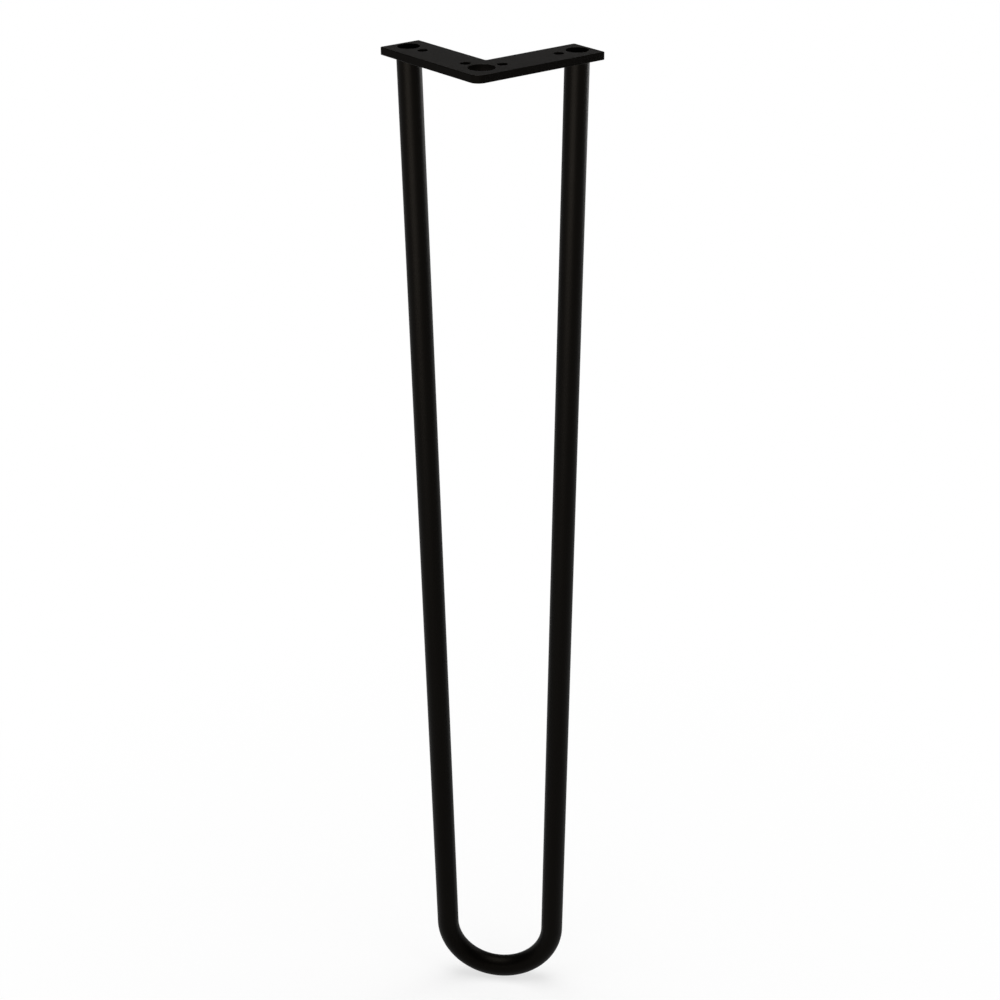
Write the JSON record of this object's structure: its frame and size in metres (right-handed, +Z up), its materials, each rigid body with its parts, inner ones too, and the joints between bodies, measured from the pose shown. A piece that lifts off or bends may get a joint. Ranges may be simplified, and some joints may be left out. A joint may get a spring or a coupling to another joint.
{
  "type": "hairpin table leg",
  "caption": "Hairpin table leg: a round steel bar bent to a U, welded under an L-shaped plate that screws to the underside of a table's corner.",
  "frame": {"origin": "on the plate's top face, on the leg's mirror plane, midway between the two inner screw holes; the leg hangs below it, as fixed under a table", "axes": "+Z up, out of the plate's top face into the table top; +X across the U, from its left leg to its right as seen from outside the table's corner; +Y from the plate's outer corner towards the middle of the table"},
  "size_m": [0.1404, 0.0887, 0.72],
  "materials": {
    "black_powder_coat": "satin powder coat"
  },
  "bodies": {
    "root": {"mounting_plate": "black_powder_coat", "hairpin_bar": "black_powder_coat", "weld_left": "black_powder_coat", "weld_right": "black_powder_coat"}
  },
  "joints": []
}
